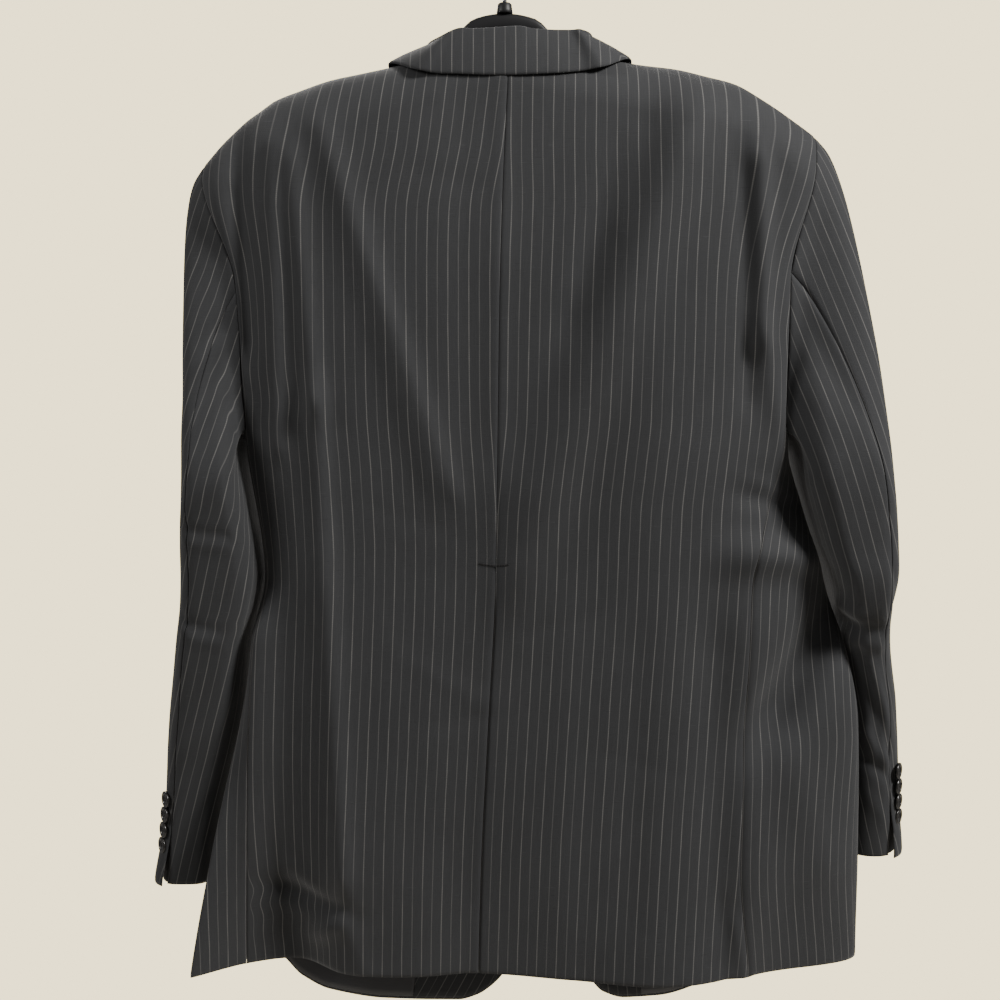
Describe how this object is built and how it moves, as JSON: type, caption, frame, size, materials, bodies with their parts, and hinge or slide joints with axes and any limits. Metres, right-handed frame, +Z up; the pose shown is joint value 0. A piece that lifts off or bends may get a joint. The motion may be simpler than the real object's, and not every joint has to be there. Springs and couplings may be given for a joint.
{
  "type": "two-button blazer on a hanger",
  "caption": "Pinstriped tailored blazer hanging on a slim hanger, open at neck, hem and cuffs, with notch lapels, a centre vent and buttoned front.",
  "frame": {"origin": "inner crown of the hanger's hook, where a rod or a peg carries it", "axes": "+Z up, -Y out of the blazer's front, +Y out of its back, +X towards the wearer's left"},
  "size_m": [0.7128, 0.1978, 0.9816],
  "materials": {
    "suiting": "charcoal worsted with a fine grey pinstripe",
    "lining": "dark satin",
    "buttons": "dark horn-like, polished",
    "hanger": "matt black",
    "hook_wire": "bright wire"
  },
  "bodies": {
    "root": {"back_left": "suiting", "back_right": "suiting", "side_left": "suiting", "side_right": "suiting", "front_left": "suiting", "front_right": "suiting", "lapel_left": "suiting", "lapel_right": "suiting", "collar": "suiting", "sleeve_upper_left": "suiting", "sleeve_under_left": "suiting", "sleeve_upper_right": "suiting", "sleeve_under_right": "suiting", "pocket_flap_left": "suiting", "pocket_flap_right": "suiting", "breast_welt": "suiting", "facing_left": "suiting", "facing_right": "suiting", "lining_left": "lining", "lining_right": "lining", "front_button_upper": "buttons", "front_button_lower": "buttons", "cuff_button_left_1": "buttons", "cuff_button_left_2": "buttons", "cuff_button_left_3": "buttons", "cuff_button_left_4": "buttons", "cuff_button_right_1": "buttons", "cuff_button_right_2": "buttons", "cuff_button_right_3": "buttons", "cuff_button_right_4": "buttons", "hanger_bar": "hanger", "hanger_boss": "hanger", "hanger_hook": "hook_wire"}
  },
  "joints": []
}
